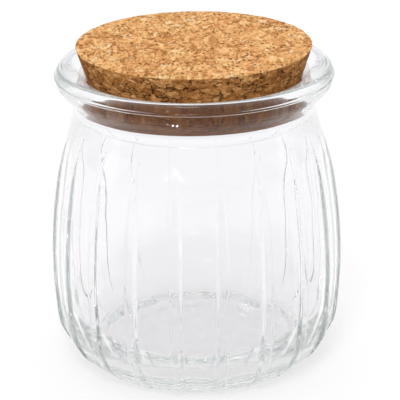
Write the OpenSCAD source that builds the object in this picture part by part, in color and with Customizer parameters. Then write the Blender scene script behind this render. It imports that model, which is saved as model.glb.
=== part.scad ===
// Ribbed glass jar with a cork stopper, millimetres.
// Origin: centre of the foot ring on the table, +Z along the jar's axis.

/* [Glass body] */
// Largest radius of the body, measured over the ribs
belly_r = 40.25; // [38:0.05:44]
// Height at which the neck is narrowest
neck_z = 71.5; // [70:0.5:73]
// Thickness of the wall behind the flat panels
wall_t = 2.6; // [2.2:0.1:3.2]
// Height of the inside floor above the table
floor_z = 4.6; // [4.2:0.2:6.4]
// Radius of the flat middle of the inside floor
floor_r = 22; // [18:0.5:26]
// Width of the foot ring that the jar stands on
foot_w = 3.6; // [2.5:0.1:5]
// Depth of the hollow under the base
punt_h = 0.8; // [0.4:0.1:1.4]

/* [Ribs] */
// Number of upright ribs round the body
rib_n = 20; // [16:2:22]
// Height of a rib above the panels beside it
rib_h = 0.7; // [0.5:0.1:1.2]
// Width of a rib at its root
rib_w = 4.0; // [3:0.1:5]
// Turn of the whole rib pattern about the axis, degrees
rib_turn = 0.9; // [0:0.1:18]
// Height at which the ribs have run out on the shoulder
rib_top = 66; // [62:0.5:67]

/* [Rim] */
// Outside radius of the rounded rim
rim_r = 37.5; // [36.5:0.1:38.5]
// Height of the rim above the table
rim_z = 83.1; // [82.7:0.1:83.6]
// Height of the flared rim above the narrowest part of the neck
rim_h = 11.0; // [10.4:0.1:11.6]
// Inside radius of the mouth and neck
mouth_r = 29.0; // [28.5:0.05:29.2]
// Lower edge of the straight bore of the neck
bore_z = 69.3; // [68.5:0.1:70]

/* [Stopper] */
// Radius of the stopper's top face
cork_top_r = 31.8; // [30.5:0.1:33]
// Height of the stopper's top face above the table
cork_top_z = 88.7; // [87:0.1:90]
// Height of the stopper's lower face above the table
cork_low_z = 75.4; // [71:0.1:76]
// Radial clearance between the plug and the bore
fit_gap = 0.07; // [0.03:0.01:0.1]
// Height at which the plug starts to flare
flare_z = 79.7; // [79.6:0.1:82]

/* [Hidden] */
$fn = 96;

// Stations of the lathe profile over the ribs: height and radius as drawn
// for a 40.25 mm belly and a neck at 71.5 mm.
stations = [[0, 30.3], [1.6, 32.7], [3.5, 34.95], [6.5, 37], [10.5, 38.85],
            [17, 39.7], [29, 40.25], [42, 39.6], [53, 38.05], [61, 36],
            [67, 33.8], [71.5, 32.6]];
kr = belly_r / 40.25;
kz = neck_z / 71.5;
st = [for (s = stations) [s[0] * kz, s[1] * kr]];
last = len(st) - 1;

// Slope of the profile at a station, from its neighbours.
function slope(i) =
    let (a = max(i - 1, 0), b = min(i + 1, last))
    (st[b][1] - st[a][1]) / (st[b][0] - st[a][0]);
function span(z, i = 0) = (i >= last - 1 || z < st[i + 1][0]) ? i : span(z, i + 1);
// Smooth cubic through the stations: radius over the ribs at height z.
function over(z) =
    let (i = span(z), h = st[i + 1][0] - st[i][0],
         t = min(max((z - st[i][0]) / h, 0), 1))
    st[i][1] * (2*t*t*t - 3*t*t + 1) + slope(i) * h * (t*t*t - 2*t*t + t)
    + st[i + 1][1] * (3*t*t - 2*t*t*t) + slope(i + 1) * h * (t*t*t - t*t);

function ease(t) = let (u = min(max(t, 0), 1)) u * u * (3 - 2 * u);
// Depth of the panels below the rib crests; it runs out on the shoulder.
function dip(z) = rib_h * (1 - ease((z - rib_top + 14) / 14));
function panel(z) = over(z) - dip(z);
// Crest of the ribs; near the top it sinks into the shoulder.
function crest(z) = over(z) - 0.6 * ease((z - rib_top + 16) / 16);

// Inside wall: offset of the panels, ending where the floor's rounded corner starts.
bowl_h = 12.7;
bowl_top = floor_z + bowl_h;
function inner(z) = panel(max(z, bowl_top)) - wall_t;
bowl_r = inner(bowl_top);
// Rounded corner between the wall and the floor, from 16 degrees at the wall to 90 at the floor.
function bowl_pt(a) = [floor_r + (bowl_r - floor_r) * cos(a) / cos(16),
                       floor_z + bowl_h * (1 - sin(a)) / (1 - sin(16))];

// Rim section from the neck up the flared outside, over the top and down to the bore:
// share of the way from the bore to the rim's outside, share of the rim's height.
rim_shape = [[0.45, 0.065], [0.5, 0.15], [0.67, 0.31], [0.86, 0.5], [0.955, 0.64],
             [1, 0.77], [0.99, 0.87], [0.93, 0.95], [0.83, 0.995], [0.7, 1],
             [0.56, 0.975], [0.4, 0.925], [0.26, 0.865], [0.14, 0.795], [0.05, 0.72], [0, 0.64]];
function rim_pt(s) = [mouth_r + (rim_r - mouth_r) * s[0], rim_z - rim_h * (1 - s[1])];

body_steps = 20;
glass_section = concat(
    [[0, punt_h], [over(0) - rib_h - foot_w - 3, punt_h],
     [over(0) - rib_h - foot_w, 0], [over(0) - rib_h, 0]],
    [for (k = [1:body_steps]) let (u = k / body_steps,
        z = neck_z * pow(u, 1.35)) [panel(z), z]],
    [for (s = rim_shape) rim_pt(s)],
    [[mouth_r, bore_z]],
    [for (k = [0:12]) let (u = k / 12,
        z = (bore_z - 3) * (1 - u) + bowl_top * u) [inner(z), z]],
    [for (a = [24:8:80]) bowl_pt(a)],
    [[floor_r, floor_z], [0, floor_z]]);

rib_section = concat(
    [for (k = [0:14]) let (u = k / 14, z = 0.6 + (rib_top + 0.5 - 0.6) * pow(u, 1.25)) [crest(z), z]],
    [for (z = [rib_top + 0.5, 57, 46, 32, 18, 9, 4, 0.6]) [panel(z) - 1.3, z]]);

module rib_plan() {
    for (i = [0:rib_n - 1])
        rotate((i + 0.5) * 360 / rib_n + rib_turn - 90)
            polygon([[25, -rib_w / 2], [38.3, -rib_w / 2], [44, -rib_w / 2 + 1.7],
                     [44, rib_w / 2 - 1.7], [38.3, rib_w / 2], [25, rib_w / 2]]);
}

module glass_jar() {
    color([0.86, 0.93, 0.9, 0.35])
    union() {
        rotate_extrude() polygon(glass_section);
        intersection() {
            rotate_extrude() polygon(rib_section);
            linear_extrude(height = rib_top + 2) rib_plan();
        }
    }
}

plug_r = mouth_r - fit_gap;
module cork_stopper() {
    color([0.76, 0.52, 0.3])
    rotate_extrude()
        polygon([[0, cork_low_z], [plug_r - 0.9, cork_low_z], [plug_r - 0.3, cork_low_z + 0.4],
                 [plug_r, cork_low_z + 1.2], [plug_r, flare_z],
                 [cork_top_r - 0.15, cork_top_z - 0.5], [cork_top_r - 0.35, cork_top_z],
                 [0, cork_top_z]]);
}

glass_jar();
cork_stopper();
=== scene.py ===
"""Looks of the ribbed glass jar and its cork stopper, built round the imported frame.

Everything is in metres in the frame's own axes; helper numbers are in millimetres
and are scaled once, where a mesh is made.
"""
import math

import bpy
import numpy as np
from mathutils import Matrix, Vector, noise


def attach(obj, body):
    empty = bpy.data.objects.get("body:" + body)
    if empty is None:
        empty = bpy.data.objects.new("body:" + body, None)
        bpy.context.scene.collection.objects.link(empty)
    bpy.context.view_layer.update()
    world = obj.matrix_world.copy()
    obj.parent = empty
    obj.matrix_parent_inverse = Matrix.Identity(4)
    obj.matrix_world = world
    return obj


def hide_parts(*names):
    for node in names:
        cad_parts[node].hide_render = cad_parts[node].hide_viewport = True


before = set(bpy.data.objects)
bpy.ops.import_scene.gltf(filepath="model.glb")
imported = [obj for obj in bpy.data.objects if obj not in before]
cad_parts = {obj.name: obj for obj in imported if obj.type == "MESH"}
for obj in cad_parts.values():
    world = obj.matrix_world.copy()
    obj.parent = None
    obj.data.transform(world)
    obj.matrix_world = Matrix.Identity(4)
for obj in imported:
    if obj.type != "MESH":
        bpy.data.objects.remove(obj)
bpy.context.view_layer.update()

MM = 0.001
scene = bpy.context.scene


# ---------------------------------------------------------------- camera ----
# Long lens about half a metre away, looking down 21.5 degrees.
CAM_DIST = 510.0
CAM_ELEV = math.radians(21.5)
CAM_ROLL = math.radians(0.76)
CAM_F_PX = 1846.0
AIM_Z = 41.2
AIM_PX = (196.0, 208.0)


def make_camera():
    e = CAM_ELEV
    pos = Vector((0, -CAM_DIST * math.cos(e), AIM_Z + CAM_DIST * math.sin(e)))
    fw = Vector((0, math.cos(e), -math.sin(e)))
    rt = Vector((1, 0, 0))
    up = Vector((0, math.sin(e), math.cos(e)))
    c, s = math.cos(CAM_ROLL), math.sin(CAM_ROLL)
    rt2 = rt * c - up * s
    up2 = rt * s + up * c
    # turn the view so that the aim point lands where the photograph has it
    dx = (200.0 - AIM_PX[0]) / CAM_F_PX
    dy = (AIM_PX[1] - 200.0) / CAM_F_PX
    fw2 = (fw + rt2 * dx + up2 * dy).normalized()
    rt3 = fw2.cross(up2).normalized()
    up3 = rt3.cross(fw2).normalized()
    m = Matrix((rt3, up3, -fw2)).transposed().to_4x4()
    m.translation = pos * MM
    cam = bpy.data.cameras.new("camera")
    cam.sensor_fit = "HORIZONTAL"
    cam.sensor_width = 36.0
    cam.lens = 36.0 * CAM_F_PX / 400.0
    cam.clip_start = 0.02
    cam.clip_end = 20.0
    ob = bpy.data.objects.new("camera", cam)
    scene.collection.objects.link(ob)
    ob.matrix_world = m
    scene.camera = ob
    return ob


camera = make_camera()


# ------------------------------------------------------- node tree helper ----
class Tree:
    """Short names for building a node tree."""

    def __init__(self, tree):
        self.t = tree
        self.t.nodes.clear()

    def n(self, kind, **props):
        node = self.t.nodes.new(kind)
        for k, v in props.items():
            setattr(node, k, v)
        return node

    def put(self, sock, value):
        if hasattr(value, "is_output"):
            self.t.links.new(value, sock)
        else:
            sock.default_value = value

    def math(self, op, a, b=None, c=None, clamp=False):
        m = self.n("ShaderNodeMath", operation=op, use_clamp=clamp)
        self.put(m.inputs[0], a)
        if b is not None:
            self.put(m.inputs[1], b)
        if c is not None:
            self.put(m.inputs[2], c)
        return m.outputs[0]

    def mix(self, fac, a, b, blend="MIX"):
        m = self.n("ShaderNodeMix", data_type="RGBA", blend_type=blend)
        m.clamp_factor = True
        self.put(m.inputs[0], fac)
        self.put(m.inputs[6], a)
        self.put(m.inputs[7], b)
        return m.outputs[2]

    def ramp(self, fac, stops, interp="LINEAR"):
        r = self.n("ShaderNodeValToRGB")
        r.color_ramp.interpolation = interp
        el = r.color_ramp.elements
        while len(el) < len(stops):
            el.new(0.5)
        for e, (p, c) in zip(el, stops):
            e.position = p
            e.color = c if len(c) == 4 else (*c, 1.0)
        self.put(r.inputs[0], fac)
        return r.outputs[0]

    def noise(self, vec, scale, detail=2.0, rough=0.5, dist=0.0):
        m = self.n("ShaderNodeTexNoise", noise_dimensions="3D")
        self.put(m.inputs["Vector"], vec)
        m.inputs["Scale"].default_value = scale
        m.inputs["Detail"].default_value = detail
        m.inputs["Roughness"].default_value = rough
        m.inputs["Distortion"].default_value = dist
        return m

    def voronoi(self, vec, scale, feature="F1", rand=1.0):
        m = self.n("ShaderNodeTexVoronoi", voronoi_dimensions="3D", feature=feature)
        self.put(m.inputs["Vector"], vec)
        m.inputs["Scale"].default_value = scale
        if "Randomness" in m.inputs:
            m.inputs["Randomness"].default_value = rand
        return m

    def mapping(self, vec, scale=(1, 1, 1), rot=(0, 0, 0), loc=(0, 0, 0)):
        m = self.n("ShaderNodeMapping")
        self.put(m.inputs["Vector"], vec)
        m.inputs["Scale"].default_value = scale
        m.inputs["Rotation"].default_value = rot
        m.inputs["Location"].default_value = loc
        return m.outputs[0]


def new_material(name):
    m = bpy.data.materials.new(name)
    m.use_nodes = True
    return m, Tree(m.node_tree)


# ------------------------------------------------------------ glass shape ----
STATIONS = [(0, 30.3), (1.6, 32.7), (3.5, 34.95), (6.5, 37.0), (10.5, 38.85),
            (17, 39.7), (29, 40.25), (42, 39.6), (53, 38.05), (61, 36.0),
            (67, 33.8), (71.0, 32.8)]
SZ = np.array([s[0] for s in STATIONS], float)
SR = np.array([s[1] for s in STATIONS], float)
SLOPE = np.empty(len(SZ))
for _i in range(len(SZ)):
    _a, _b = max(_i - 1, 0), min(_i + 1, len(SZ) - 1)
    SLOPE[_i] = (SR[_b] - SR[_a]) / (SZ[_b] - SZ[_a])

NECK_Z = 71.0
RIB_N = 20
RIB_H = 0.74
RIB_HALF = 1.85
RIB_TURN = 0.9
FLAT = 0.10
MOUTH_R = 29.0
BORE_Z = 69.4
FLOOR_Z = 4.6
BOWL_H = 12.7
FLOOR_R = 22.0
# rim section above the crease with the shoulder, from the outside over the top to the bore
RIM = [(32.7, 71.2), (32.64, 72.0), (32.78, 72.8), (33.2, 73.7), (33.85, 74.6), (34.7, 75.6),
       (35.6, 76.6), (36.4, 77.6), (36.95, 78.5), (37.22, 79.3), (37.33, 79.9), (37.38, 80.2), (37.55, 80.42), (37.58, 80.65), (37.5, 80.88),
       (37.3, 81.1), (37.2, 81.6), (36.85, 82.3), (36.4, 82.9), (35.7, 83.1), (34.9, 83.08), (34.0, 82.86),
       (33.1, 82.56), (32.2, 82.22), (31.3, 81.8), (30.5, 81.3), (29.8, 80.7), (29.3, 80.0), (29.0, 79.2)]
WALL = 2.6
PUNT = 0.7


def over(z):
    """Lathe radius over the rib crests at height z."""
    z = np.asarray(z, float)
    i = np.clip(np.searchsorted(SZ, z, side="right") - 1, 0, len(SZ) - 2)
    h = SZ[i + 1] - SZ[i]
    t = np.clip((z - SZ[i]) / h, 0, 1)
    return (SR[i] * (2 * t**3 - 3 * t**2 + 1) + SLOPE[i] * h * (t**3 - 2 * t**2 + t)
            + SR[i + 1] * (3 * t**2 - 2 * t**3) + SLOPE[i + 1] * h * (t**3 - t**2))


def ease(t):
    t = np.clip(t, 0, 1)
    return t * t * (3 - 2 * t)


# columns of the mesh across half a rib, in shares of its half width, then across half a panel
ON_RIB = [0.0, 0.25, 0.45, 0.56, 0.66, 0.75, 0.84, 0.93, 1.02, 1.12, 1.3]
ON_PANEL = [0.12, 0.28, 0.46, 0.64, 0.82, 1.0]
PERIOD = 360.0 / RIB_N


def rib_fade(z):
    """1 where the ribs are full, running out to 0 on the shoulder."""
    return 1.0 - float(ease((z - 48.0) / 20.0))


def rib_half(z):
    """Half width of a rib in mm at height z: it tapers towards its top."""
    return RIB_HALF * (0.48 + 0.52 * rib_fade(z + 4.0))


def columns(z):
    """Angles of all mesh columns at height z, and each one's distance from its rib in mm
    and its place across the panel (1 at the rib, 0 in the middle of the panel)."""
    r0 = float(over(min(z, NECK_Z)))
    h = math.degrees(rib_half(z) / r0)
    half = [o * h for o in ON_RIB]
    edge = half[-1]
    half += [edge + (PERIOD / 2 - edge) * o for o in ON_PANEL]
    one = [-o for o in half[:0:-1]][1:] + half
    ang, arc, place = [], [], []
    for k in range(RIB_N):
        c = (k + 0.5) * PERIOD + RIB_TURN - 90.0
        for o in one:
            ang.append(c + o)
            arc.append(abs(math.radians(o)) * r0)
            place.append(1.0 - abs(o) / (PERIOD / 2))
    return np.radians(np.array(ang)), np.array(arc), np.array(place)


TOP_TH = columns(70.0)[0]
NC = len(TOP_TH)


def outer_ring(z):
    """Angles and radii of the ribbed outside at height z."""
    r0 = float(over(z))
    th, arc, place = columns(z)
    fade = rib_fade(z)
    low = 0.35 + 0.65 * float(ease((z - 0.5) / 8.0))
    u = arc / rib_half(z)
    # a bead with a softly rounded back and filleted feet
    bump = 1.0 - ease((u - 0.46) / 0.60) - 0.10 * np.clip(u, 0, 0.5) ** 2
    # the ribs are a little softer towards the back
    full = 1.0 - 0.58 * ease((np.sin(th) + 0.35) / 0.7)
    drop = fade * low * (RIB_H * (1 - bump * full) + FLAT * ease((1 - place - 0.18) / 0.82))
    return th, r0 - drop


def wavy(x, y, z, amp=1.0):
    """Slow unevenness of blown glass, from a few fixed sine waves."""
    a = np.arctan2(y, x)
    w = (0.34 * np.sin(3 * a + 0.11 * z + 0.4) + 0.30 * np.sin(5 * a - 0.17 * z + 2.1)
         + 0.24 * np.sin(8 * a + 0.23 * z + 4.0) + 0.22 * np.sin(0.31 * z + 2 * a + 1.3)
         + 0.14 * np.sin(13 * a - 0.35 * z + 0.7))
    return amp * w


def smooth_open(pts, sub):
    """Catmull-Rom curve through the points, sub steps between neighbours."""
    p = np.array(pts, float)
    q = np.vstack([2 * p[0] - p[1], p, 2 * p[-1] - p[-2]])
    out = []
    for i in range(1, len(q) - 2):
        for k in range(sub):
            t = k / sub
            out.append(0.5 * ((2 * q[i]) + (-q[i - 1] + q[i + 1]) * t
                              + (2 * q[i - 1] - 5 * q[i] + 4 * q[i + 1] - q[i + 2]) * t * t
                              + (-q[i - 1] + 3 * q[i] - 3 * q[i + 1] + q[i + 2]) * t ** 3))
    out.append(p[-1])
    return [(float(a), float(b)) for a, b in out]


def inner_wall(z):
    base = float(over(z))
    fade = 1.0 - float(ease((z - 50.0) / 17.0))
    return base - (RIB_H + 0.25) * fade - WALL


def glass_rings():
    """Every ring of the jar from the middle of the base, up the outside, over the rim
    and down the inside to the middle of the floor: lists of (angles, radii, heights)."""
    rings = []
    low_th = columns(0.75)[0]

    def ring(r, z, th=TOP_TH):
        r = np.full(NC, float(r)) if np.ndim(r) == 0 else r
        z = np.full(NC, float(z)) if np.ndim(z) == 0 else z
        rings.append((th, r, z))

    # shallow dome under the base, running smoothly into the foot ring
    for k in range(1, 25):
        f = k / 24
        ring(26.6 * f, PUNT * (1 - f * f), low_th)
    for r in (27.3, 28.0):
        ring(r, 0.0, low_th)
    # heel: a small rounding, then the wall
    th, edge = outer_ring(1.1)
    for k in range(0, 6):
        a = math.radians(90 * k / 6)
        ring(edge - 1.9 * (1 - math.sin(a)), 1.1 * (1 - math.cos(a)), th)
    zs = np.concatenate([np.linspace(1.1, 12, 26), np.linspace(12, 50, 44)[1:],
                         np.linspace(50, 70.2, 30)[1:]])
    for z in zs:
        th, r = outer_ring(float(z))
        ring(r, z, th)
    ring(float(over(70.6)), 70.6)
    ring(float(over(71.0)), 71.0)
    for r, z in smooth_open(RIM, 3):
        ring(r, z)
    # straight bore
    for z in np.linspace(78.5, BORE_Z + 0.6, 9):
        ring(MOUTH_R, z)
    for r, z in ((0.0, 0.3), (0.02, 0.14), (0.08, 0.04), (0.2, -0.04), (0.3, -0.14)):
        ring(MOUTH_R + r, BORE_Z + z)
    # inside wall: it leaves the bore at a crisp edge
    top = FLOOR_Z + BOWL_H
    for z in np.concatenate([np.linspace(BORE_Z - 0.4, 58.0, 20)[:-1], np.linspace(58.0, top, 40)]):
        d = BORE_Z - z
        t = float(ease(d / 11.0))
        r = (MOUTH_R + 0.2 + 0.42 * d) * (1 - t) + inner_wall(float(z)) * t
        x, y = np.cos(TOP_TH) * r, np.sin(TOP_TH) * r
        env = float(ease((BORE_Z - z) / 14.0))
        ring(r + 0.035 * env * wavy(x, y, np.full(NC, z)), z)
    # rounded corner down to the floor, then the slightly uneven floor itself
    r_wall = inner_wall(top)
    path = []
    for k in range(1, 31):
        a = math.radians(16 + (84 - 16) * k / 30)
        path.append((FLOOR_R + (r_wall - FLOOR_R) * math.cos(a) / math.cos(math.radians(16)),
                     FLOOR_Z + BOWL_H * (1 - math.sin(a)) / (1 - math.sin(math.radians(16)))))
    for k in range(1, 25):
        path.append((path[29][0] * (1 - k / 25), FLOOR_Z + 0.02))
    for r, z in path:
        x, y = np.cos(TOP_TH) * r, np.sin(TOP_TH) * r
        lump = (0.20 * np.sin(x * 0.21 + 1.0) * np.sin(y * 0.17 + 0.4)
                + 0.14 * np.sin(x * 0.36 - y * 0.29 + 2.0) + 0.08 * np.sin(x * 0.55 + y * 0.41))
        side = float(ease((r - 24.0) / (r_wall - 24.0)))
        ring(r + 0.035 * side * wavy(x, y, np.full(NC, top)), z + lump * (1 - side))
    return rings


def lathe_mesh(name, rings, base_pt, top_pt):
    nr = len(rings)
    co = np.empty((nr * NC + 2, 3))
    for i, (th, r, z) in enumerate(rings):
        co[i * NC:(i + 1) * NC, 0] = np.cos(th) * r
        co[i * NC:(i + 1) * NC, 1] = np.sin(th) * r
        co[i * NC:(i + 1) * NC, 2] = z
    co[-2] = base_pt
    co[-1] = top_pt
    faces = []
    j = np.arange(NC)
    jn = (j + 1) % NC
    for i in range(nr - 1):
        a, b = i * NC, (i + 1) * NC
        faces += np.stack([a + j, a + jn, b + jn, b + j], 1).tolist()
    faces += np.stack([jn, j, np.full(NC, nr * NC)], 1).tolist()
    e = (nr - 1) * NC
    faces += np.stack([e + j, e + jn, np.full(NC, nr * NC + 1)], 1).tolist()
    me = bpy.data.meshes.new(name)
    me.from_pydata((co * MM).tolist(), [], faces)
    me.validate()
    me.polygons.foreach_set("use_smooth", [True] * len(me.polygons))
    me.update()
    ob = bpy.data.objects.new(name, me)
    scene.collection.objects.link(ob)
    return ob


def make_glass_material():
    m, t = new_material("clear_glass")
    out = t.n("ShaderNodeOutputMaterial")
    b = t.n("ShaderNodeBsdfPrincipled")
    b.inputs["Base Color"].default_value = (0.972, 0.967, 0.978, 1.0)
    b.inputs["Transmission Weight"].default_value = 1.0
    b.inputs["IOR"].default_value = 1.5
    b.inputs["Specular Tint"].default_value = (0.45, 0.45, 0.45, 1.0)
    b.inputs["Roughness"].default_value = 0.0
    tc = t.n("ShaderNodeTexCoord")
    # fine unevenness of a pressed surface, far below the ribs in size
    n1 = t.noise(tc.outputs["Object"], 70.0, 1.0, 0.4)
    n2 = t.noise(tc.outputs["Object"], 420.0, 1.0, 0.5)
    h = t.math("MULTIPLY_ADD", n2.outputs[0], 0.06, n1.outputs[0])
    bump = t.n("ShaderNodeBump")
    bump.inputs["Strength"].default_value = 0.07
    bump.inputs["Distance"].default_value = 0.0004
    t.put(bump.inputs["Height"], h)
    t.put(b.inputs["Normal"], bump.outputs[0])
    ab = t.n("ShaderNodeVolumeAbsorption")
    ab.inputs["Color"].default_value = (0.76, 0.805, 0.795, 1.0)
    ab.inputs["Density"].default_value = 8.5
    t.put(out.inputs["Surface"], b.outputs[0])
    t.put(out.inputs["Volume"], ab.outputs[0])
    return m


glass = lathe_mesh("glass_jar_body", glass_rings(), (0, 0, PUNT), (0, 0, FLOOR_Z + 0.2))
glass.data.materials.append(make_glass_material())
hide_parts("glass_jar")
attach(glass, "jar")


# ------------------------------------------------------------ cork shape ----
CORK_TOP_R, CORK_TOP_Z, CORK_LOW_Z = 31.75, 88.7, 75.45
PLUG_R, FLARE_Z = 28.93, 79.8


def cork_outline():
    """Half section of the stopper from the middle of the top to the middle of the bottom,
    as (radius, height, outward radial, outward vertical, zone)."""
    pts = []
    for r in np.linspace(0.5, CORK_TOP_R - 0.6, 74):
        pts.append((r, CORK_TOP_Z, 0.0, 1.0, 0))
    for k in range(1, 5):
        a = math.radians(90 * k / 4)
        pts.append((CORK_TOP_R - 0.5 + 0.35 * math.sin(a), CORK_TOP_Z - 0.35 + 0.35 * math.cos(a),
                    math.sin(a), math.cos(a), 1))
    for z in np.linspace(CORK_TOP_Z - 0.75, FLARE_Z, 20):
        f = (z - FLARE_Z) / (CORK_TOP_Z - 0.35 - FLARE_Z)
        r = PLUG_R + (CORK_TOP_R - 0.15 - PLUG_R) * f
        pts.append((r, z, 0.95, -0.3, 2))
    for z in np.linspace(FLARE_Z - 0.5, CORK_LOW_Z + 1.0, 18):
        pts.append((PLUG_R - 0.02, z, 1.0, 0.0, 3))
    for k in range(1, 5):
        a = math.radians(90 * k / 4)
        pts.append((PLUG_R - 0.9 + 0.88 * math.cos(a), CORK_LOW_Z + 0.9 - 0.9 * math.sin(a), math.cos(a), -math.sin(a), 3))
    for r in np.linspace(PLUG_R - 1.6, 0.5, 40):
        pts.append((r, CORK_LOW_Z, 0.0, -1.0, 4))
    return pts


def granule_depth(p, zone):
    """How far the surface is sunk at a point of the raw stopper, in mm."""
    if zone == 0:
        q = Vector((p[0] / 1.7, p[1] / 1.7, p[2] / 1.7))
    else:
        q = Vector((p[0] / 3.0, p[1] / 3.0, p[2] / 1.5))
    warp = noise.noise_vector(q * 1.3) * 0.35
    d, c = noise.voronoi(q + warp, distance_metric="DISTANCE")
    gap = max(0.0, 1.0 - (d[1] - d[0]) / 0.16)
    cell = noise.cell(c[0] * 7.31)
    pit = 1.0 if cell > 0.92 else 0.0
    inside = min(1.0, (d[1] - d[0]) / 0.25)
    if zone == 0:
        depth = 0.03 * gap + 0.04 * cell + 0.12 * pit * inside
    else:
        depth = 0.10 * gap + 0.09 * cell + 0.32 * pit * inside
    fine = noise.noise(Vector(p) * 1.9) * 0.03
    return max(0.0, depth + fine)


def make_cork():
    pts = cork_outline()
    nc = 400
    th = np.linspace(0, 2 * math.pi, nc, endpoint=False)
    co = []
    for r, z, nr, nz, zone in pts:
        for a in th:
            ca, sa = math.cos(a), math.sin(a)
            p = (r * ca, r * sa, z)
            d = granule_depth(p, zone)
            if zone == 1:
                d *= 1.1
            if zone in (3,):
                d *= 0.35
            co.append((p[0] - nr * ca * d, p[1] - nr * sa * d, p[2] - nz * d))
    co.append((0, 0, CORK_TOP_Z - 0.05))
    co.append((0, 0, CORK_LOW_Z + 0.05))
    faces = []
    n = len(pts)
    j = np.arange(nc)
    jn = (j + 1) % nc
    for i in range(n - 1):
        a, b = i * nc, (i + 1) * nc
        faces += np.stack([a + j, b + j, b + jn, a + jn], 1).tolist()
    faces += np.stack([j, jn, np.full(nc, n * nc)], 1).tolist()
    e = (n - 1) * nc
    faces += np.stack([e + jn, e + j, np.full(nc, n * nc + 1)], 1).tolist()
    me = bpy.data.meshes.new("cork")
    me.from_pydata([(x * MM, y * MM, z * MM) for x, y, z in co], [], faces)
    me.validate()
    me.polygons.foreach_set("use_smooth", [True] * len(me.polygons))
    me.update()
    ob = bpy.data.objects.new("cork_block", me)
    scene.collection.objects.link(ob)
    return ob


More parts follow.
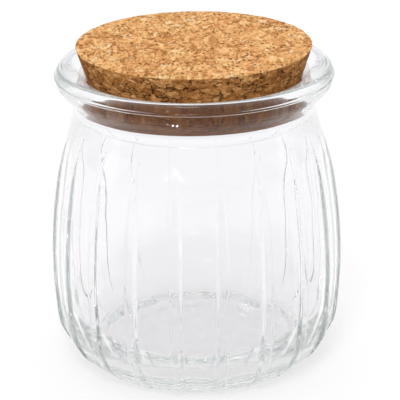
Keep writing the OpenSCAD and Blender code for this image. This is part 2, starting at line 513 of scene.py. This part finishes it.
def make_cork_material():
    """Pressed cork granules: small and pale on the ground top face, larger and darker
    with open cracks round the flank; part of the flank's darkness is painted shade
    of the side turned away from the top light."""
    m, t = new_material("agglomerated_cork")
    out = t.n("ShaderNodeOutputMaterial")
    b = t.n("ShaderNodeBsdfPrincipled")
    t.put(out.inputs["Surface"], b.outputs[0])
    b.inputs["Roughness"].default_value = 0.85
    b.inputs["Specular IOR Level"].default_value = 0.06
    tc = t.n("ShaderNodeTexCoord")
    obj = tc.outputs["Object"]

    def warped(scale, amount):
        w = t.noise(obj, scale, 2.0, 0.55)
        wv = t.n("ShaderNodeVectorMath", operation="MULTIPLY_ADD")
        t.put(wv.inputs[0], w.outputs["Color"])
        wv.inputs[1].default_value = amount
        t.put(wv.inputs[2], obj)
        return wv.outputs[0]

    def chan(color, i):
        sp = t.n("ShaderNodeSeparateColor")
        t.put(sp.inputs[0], color)
        return sp.outputs[i]

    def step(value, lo, hi):
        """0 below lo, 1 above hi (or the other way round when lo > hi)."""
        mr = t.n("ShaderNodeMapRange")
        mr.clamp = True
        t.put(mr.inputs[0], value)
        mr.inputs[1].default_value = lo
        mr.inputs[2].default_value = hi
        return mr.outputs[0]

    v = warped(700.0, (0.0011, 0.0011, 0.0009))

    # ---- top face: crumbs of about a millimetre
    a = t.voronoi(t.mapping(v, (1, 0.5, 1)), 1020.0)
    a2 = t.voronoi(t.mapping(v, (1, 0.55, 1), (0.4, 0.7, 0.3)), 1900.0)
    big = t.voronoi(t.mapping(v, (1, 0.5, 1), (0, 0, 0.6)), 400.0)
    tone = t.math("MULTIPLY_ADD", chan(a.outputs["Color"], 0), 0.42,
                  t.math("MULTIPLY_ADD", chan(a2.outputs["Color"], 1), 0.33,
                         t.math("MULTIPLY", chan(big.outputs["Color"], 2), 0.25)))
    top = t.ramp(tone, [(0.1, (0.46, 0.18, 0.050)), (0.3, (0.64, 0.29, 0.095)),
                        (0.48, (0.80, 0.41, 0.155)), (0.66, (0.92, 0.51, 0.205)),
                        (0.85, (1.0, 0.66, 0.32))])
    # long pale flakes lying in different directions
    f1 = t.voronoi(t.mapping(v, (0.62, 0.62, 1), (0, 0, 0.5)), 420.0)
    f2 = t.voronoi(t.mapping(v, (1.25, 0.35, 1), (0, 0, 0.25)), 560.0)
    pale = t.math("MAXIMUM", t.math("MULTIPLY", step(chan(f1.outputs["Color"], 0), 0.84, 0.86), step(f1.outputs["Distance"], 0.46, 0.36)),
                  t.math("MULTIPLY", step(chan(f2.outputs["Color"], 1), 0.90, 0.92), step(f2.outputs["Distance"], 0.44, 0.34)))
    grain = t.noise(t.mapping(v, (1, 1.7, 1)), 2600.0, 2.0, 0.6)
    pale = t.math("MULTIPLY", pale, step(grain.outputs[0], 0.34, 0.56))
    top = t.mix(t.math("MULTIPLY", pale, 0.95), top, (1.0, 0.73, 0.41, 1.0))
    # dark specks: bark crumbs and open pores
    sp1 = t.voronoi(t.mapping(v, (1, 0.48, 1), (0, 0, 0.9)), 900.0)
    speck = t.math("MULTIPLY", step(chan(sp1.outputs["Color"], 0), 0.60, 0.64), step(sp1.outputs["Distance"], 0.40, 0.26))
    sp2 = t.voronoi(t.mapping(v, (1.0, 0.6, 1), (0.2, 0.1, 0.4)), 1500.0)
    speck = t.math("MAXIMUM", speck, t.math("MULTIPLY", step(chan(sp2.outputs["Color"], 1), 0.66, 0.70), step(sp2.outputs["Distance"], 0.46, 0.3)))
    n1 = t.noise(t.mapping(v, (1, 0.6, 1)), 1500.0, 3.0, 0.62)
    speck = t.math("MAXIMUM", speck, t.math("MULTIPLY", step(n1.outputs[0], 0.42, 0.36), 0.9))
    patch = t.noise(obj, 160.0, 1.0, 0.5)
    speck = t.math("MULTIPLY", speck, step(patch.outputs[0], 0.30, 0.50))
    top = t.mix(t.math("MULTIPLY", speck, 0.88), top, (0.22, 0.075, 0.014, 1.0))

    # ---- flank: flat flakes with dark cracks between them, painted partly darker as shade
    w = warped(420.0, (0.0019, 0.0019, 0.0010))
    flat = t.mapping(w, (1, 1, 2.1))
    g = t.voronoi(flat, 430.0)
    g2 = t.voronoi(t.mapping(w, (1, 1, 2.0), (0.15, -0.1, 0.5)), 1000.0)
    ge = t.voronoi(flat, 430.0, "DISTANCE_TO_EDGE")
    stone = t.math("MULTIPLY_ADD", chan(g.outputs["Color"], 0), 0.55,
                   t.math("MULTIPLY", chan(g2.outputs["Color"], 1), 0.45))
    # flank colours: darker than the top's, partly its coarser granules and partly painted shade
    side = t.ramp(stone, [(0.0, (0.17, 0.052, 0.010)), (0.3, (0.33, 0.125, 0.030)),
                          (0.55, (0.46, 0.195, 0.055)), (0.8, (0.62, 0.30, 0.10)),
                          (1.0, (0.85, 0.50, 0.22))])
    sgrain = t.noise(t.mapping(w, (1, 1, 2.6)), 1500.0, 3.0, 0.65)
    # pale streaks on the flank flakes: painted highlights
    side = t.mix(t.math("MULTIPLY", step(sgrain.outputs[0], 0.57, 0.66), 0.6), side, (0.82, 0.47, 0.20, 1.0))
    broken = t.noise(obj, 330.0, 2.0, 0.6)
    crack = t.math("MULTIPLY", step(ge.outputs[0], 0.10, 0.03), step(broken.outputs[0], 0.46, 0.56))
    crack = t.math("MAXIMUM", crack, t.math("MULTIPLY", step(sgrain.outputs[0], 0.385, 0.32), 0.9))
    hole = t.voronoi(t.mapping(w, (1, 1, 1.7)), 520.0)
    pit = t.math("MULTIPLY", step(chan(hole.outputs["Color"], 2), 0.80, 0.84), step(hole.outputs["Distance"], 0.30, 0.2))
    crack = t.math("MAXIMUM", crack, pit)
    side = t.mix(t.math("MULTIPLY", crack, 0.9), side, (0.035, 0.010, 0.003, 1.0))

    xyz = t.n("ShaderNodeSeparateXYZ")
    t.put(xyz.inputs[0], obj)
    # below the flare the cork is pressed flat against the glass: painted more even there, and darker as
    # painted shade inside the neck
    pressed_shade = step(xyz.outputs[2], 0.0816, 0.0802)
    side = t.mix(t.math("MULTIPLY", pressed_shade, 0.68), side, (0.22, 0.064, 0.006, 1.0))
    ragged = t.math("MULTIPLY_ADD", grain.outputs[0], 0.0005, xyz.outputs[2])
    on_top = step(ragged, 0.08842, 0.08862)
    t.put(b.inputs["Base Color"], t.mix(on_top, side, top))
    h_top = t.math("SUBTRACT", t.math("MULTIPLY", tone, 0.5), speck)
    h_side = t.math("SUBTRACT", t.math("MULTIPLY", stone, 0.7), t.math("MULTIPLY", crack, 1.6))
    h = t.math("MULTIPLY_ADD", on_top, t.math("SUBTRACT", h_top, h_side), h_side)
    bump = t.n("ShaderNodeBump")
    bump.inputs["Strength"].default_value = 0.6
    bump.inputs["Distance"].default_value = 0.0003
    t.put(bump.inputs["Height"], h)
    t.put(b.inputs["Normal"], bump.outputs[0])
    return m


cork = make_cork()
cork.data.materials.append(make_cork_material())
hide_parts("cork_stopper")
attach(cork, "stopper")


# ----------------------------------------------------------------- stage ----
def make_stage():
    """Pale floor that curves up into a backdrop far behind."""
    n = 24
    prof = [(-6.0, -3e-5), (-2.0, -3e-5), (0.0, -3e-5), (1.2, -3e-5)]
    for k in range(1, n + 1):
        a = math.radians(90 * k / n)
        prof.append((1.2 + 1.2 * math.sin(a), 1.2 - 1.2 * math.cos(a)))
    prof.append((2.4, 5.0))
    verts, faces = [], []
    for y, z in prof:
        verts += [(-6.0, y, z), (6.0, y, z)]
    for i in range(len(prof) - 1):
        faces.append((2 * i, 2 * i + 1, 2 * i + 3, 2 * i + 2))
    me = bpy.data.meshes.new("floor")
    me.from_pydata(verts, [], faces)
    me.polygons.foreach_set("use_smooth", [True] * len(me.polygons))
    ob = bpy.data.objects.new("floor", me)
    scene.collection.objects.link(ob)
    m, t = new_material("pale_floor")
    out = t.n("ShaderNodeOutputMaterial")
    b = t.n("ShaderNodeBsdfPrincipled")
    b.inputs["Base Color"].default_value = (0.36, 0.36, 0.36, 1.0)
    b.inputs["Roughness"].default_value = 0.7
    b.inputs["Specular IOR Level"].default_value = 0.0
    b.inputs["Emission Color"].default_value = (1.0, 1.0, 1.0, 1.0)
    b.inputs["Emission Strength"].default_value = 0.68
    t.put(out.inputs["Surface"], b.outputs[0])
    me.materials.append(m)
    return ob


make_stage()


def area(name, loc, look, size, power, size_y=None, color=(1, 1, 1)):
    li = bpy.data.lights.new(name, "AREA")
    li.shape = "RECTANGLE"
    li.size = size
    li.size_y = size_y or size
    li.energy = power
    li.color = color
    ob = bpy.data.objects.new(name, li)
    scene.collection.objects.link(ob)
    ob.location = loc
    d = Vector(look) - Vector(loc)
    ob.rotation_euler = d.to_track_quat("-Z", "Y").to_euler()
    return ob


area("front_top", (-0.12, -0.85, 1.35), (0, 0.02, 0.02), 0.4, 7.0, 0.4)
area("top", (0.0, 0.25, 1.6), (0, 0.05, 0.0), 2.6, 12.0, 2.6)
area("left_side", (-0.90, -0.15, 0.32), (0, 0, 0.04), 0.36, 0.9, 0.6)
area("right_side", (0.95, -0.05, 0.32), (0, 0, 0.04), 0.36, 0.8, 0.6)
# small panes that leave window-shaped glints in the glass
for i, dx in enumerate((-0.095, 0.0, 0.095)):
    area("pane_%d" % i, (-0.445 + dx, -1.12, 0.545), (0, 0, 0.06), 0.036, 0.75, 0.055)

world = bpy.data.worlds.new("studio")
scene.world = world
world.use_nodes = True
wt = Tree(world.node_tree)
wo = wt.n("ShaderNodeOutputWorld")
bg = wt.n("ShaderNodeBackground")
bg.inputs["Color"].default_value = (1.0, 1.0, 1.0, 1.0)
bg.inputs["Strength"].default_value = 0.28
wt.put(wo.inputs["Surface"], bg.outputs[0])

scene.view_settings.view_transform = "Standard"
scene.view_settings.look = "None"
scene.view_settings.exposure = 0.0
scene.view_settings.gamma = 1.0
scene.cycles.sample_clamp_indirect = 0.0
scene.cycles.max_bounces = 64
scene.cycles.transmission_bounces = 64
scene.cycles.glossy_bounces = 64
scene.cycles.diffuse_bounces = 4
scene.cycles.transparent_max_bounces = 12
scene.cycles.caustics_refractive = True
scene.cycles.caustics_reflective = True
